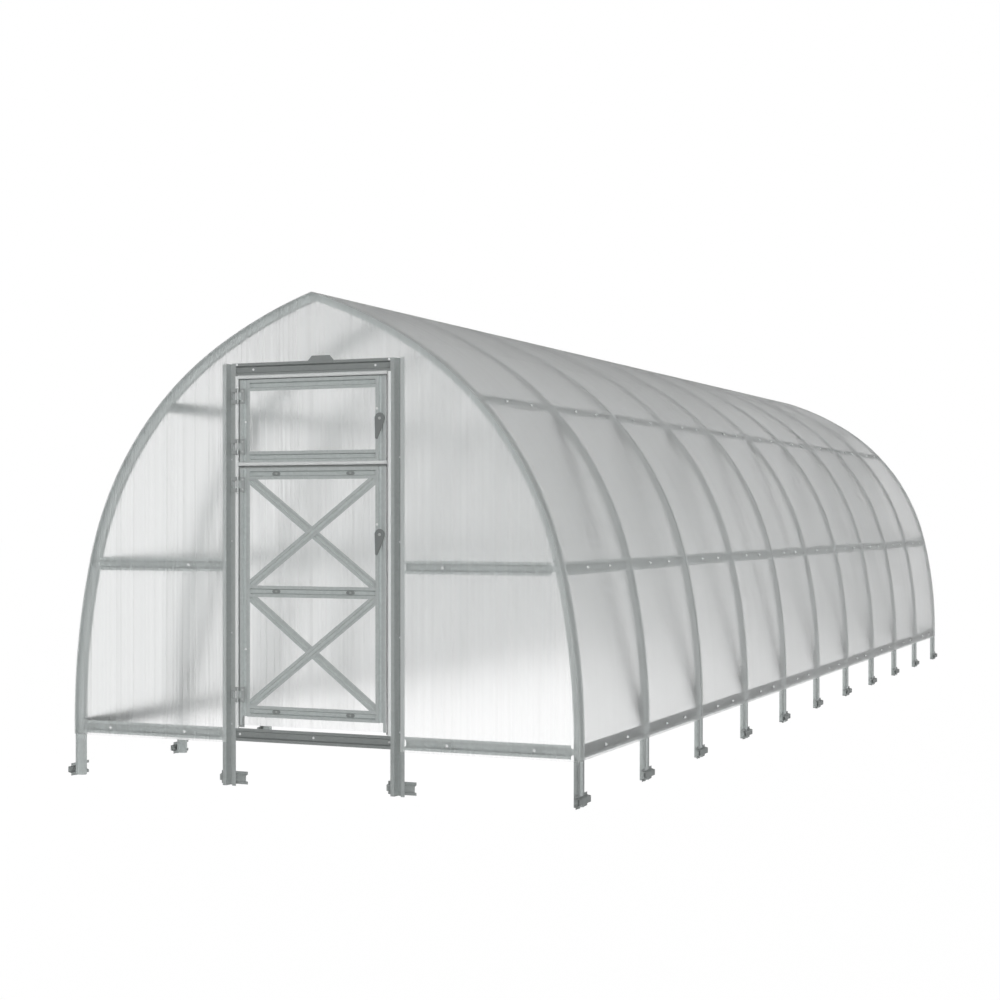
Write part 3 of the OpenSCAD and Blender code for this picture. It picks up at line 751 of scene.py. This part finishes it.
floor_mesh = bpy.data.meshes.new("floor")
disc = bmesh.new()
bmesh.ops.create_circle(disc, cap_ends=True, segments=FLOOR_SIDES, radius=FLOOR_RADIUS)
disc.to_mesh(floor_mesh)
disc.free()
floor = bpy.data.objects.new("floor", floor_mesh)
bpy.context.collection.objects.link(floor)
floor_finish, tree, shader, link = new_finish("floor_white")
shader.inputs["Base Color"].default_value = (*FLOOR_WHITE, 1.0)
shader.inputs["Roughness"].default_value = FLOOR_ROUGHNESS
shader.inputs["Specular IOR Level"].default_value = 0.0
glow = add_node(tree, "ShaderNodeEmission", Strength=GLOW_STRENGTH)
glow_share = add_node(tree, "ShaderNodeMath", {"operation": "MULTIPLY"})
link(seen_directly(tree), glow_share.inputs[0])
glow_share.inputs[1].default_value = FLOOR_GLOW
lit = add_node(tree, "ShaderNodeMixShader")
link(glow_share.outputs["Value"], lit.inputs["Fac"])
link(shader.outputs["BSDF"], lit.inputs[1])
link(glow.outputs["Emission"], lit.inputs[2])
link(lit.outputs["Shader"], tree.nodes["Material Output"].inputs["Surface"])
floor_mesh.materials.append(floor_finish)

SKY_LOW = (0.16, 0.16, 0.16)
SKY_HIGH = (0.10, 0.101, 0.102)
GLINT = 1.3
world = bpy.data.worlds.new("white_surround")
bpy.context.scene.world = world
world.use_nodes = True
tree = world.node_tree
link = tree.links.new
tree.nodes.clear()
backdrop = add_node(tree, "ShaderNodeBackground", Color=(1.0, 1.0, 1.0, 1.0), Strength=1.0)
rise = add_node(tree, "ShaderNodeSeparateXYZ")
link(add_node(tree, "ShaderNodeTexCoord").outputs["Generated"], rise.inputs["Vector"])
sky_colour = tint_between(tree, spread(tree, rise.outputs["Z"], 0.0, 1.0), SKY_LOW, SKY_HIGH)
sky = add_node(tree, "ShaderNodeBackground")
link(sky_colour, sky.inputs["Color"])
glossy = add_node(tree, "ShaderNodeLightPath").outputs["Is Glossy Ray"]
link(spread(tree, glossy, 1.0, GLINT), sky.inputs["Strength"])
surround = add_node(tree, "ShaderNodeMixShader")
link(seen_directly(tree), surround.inputs["Fac"])
link(sky.outputs["Background"], surround.inputs[1])
link(backdrop.outputs["Background"], surround.inputs[2])
link(surround.outputs["Shader"], add_node(tree, "ShaderNodeOutputWorld").inputs["Surface"])

LAMP_WIDTH = math.radians(30)
for name, strength, aim, glints in (
    ("front_lamp", 2.15, (-0.55, 0.82, -0.14), True),
    ("back_lamp", 1.6, (0.55, -0.82, -0.14), False),
):
    beam = bpy.data.lights.new(name, "SUN")
    beam.energy = strength
    beam.angle = LAMP_WIDTH
    lamp = bpy.data.objects.new(name, beam)
    lamp.rotation_euler = Vector(aim).to_track_quat("-Z", "Y").to_euler()
    lamp.visible_transmission = False
    lamp.visible_glossy = glints
    bpy.context.collection.objects.link(lamp)

CAMERA_PLACE = (4.556, -13.237, 1.415)
CAMERA_TURN = math.radians(23.109)
CAMERA_LENS = 65.004
CAMERA_RISE = 0.01714
SENSOR_WIDTH = 36.0
VIEW_REACH = 500.0
lens = bpy.data.cameras.new("photo_view")
lens.sensor_width = SENSOR_WIDTH
lens.lens = CAMERA_LENS
lens.shift_y = CAMERA_RISE
lens.clip_end = VIEW_REACH
camera = bpy.data.objects.new("photo_view", lens)
camera.location = CAMERA_PLACE
camera.rotation_euler = (math.pi / 2, 0.0, CAMERA_TURN)
bpy.context.collection.objects.link(camera)
bpy.context.scene.camera = camera
bpy.context.scene.view_settings.view_transform = "Standard"
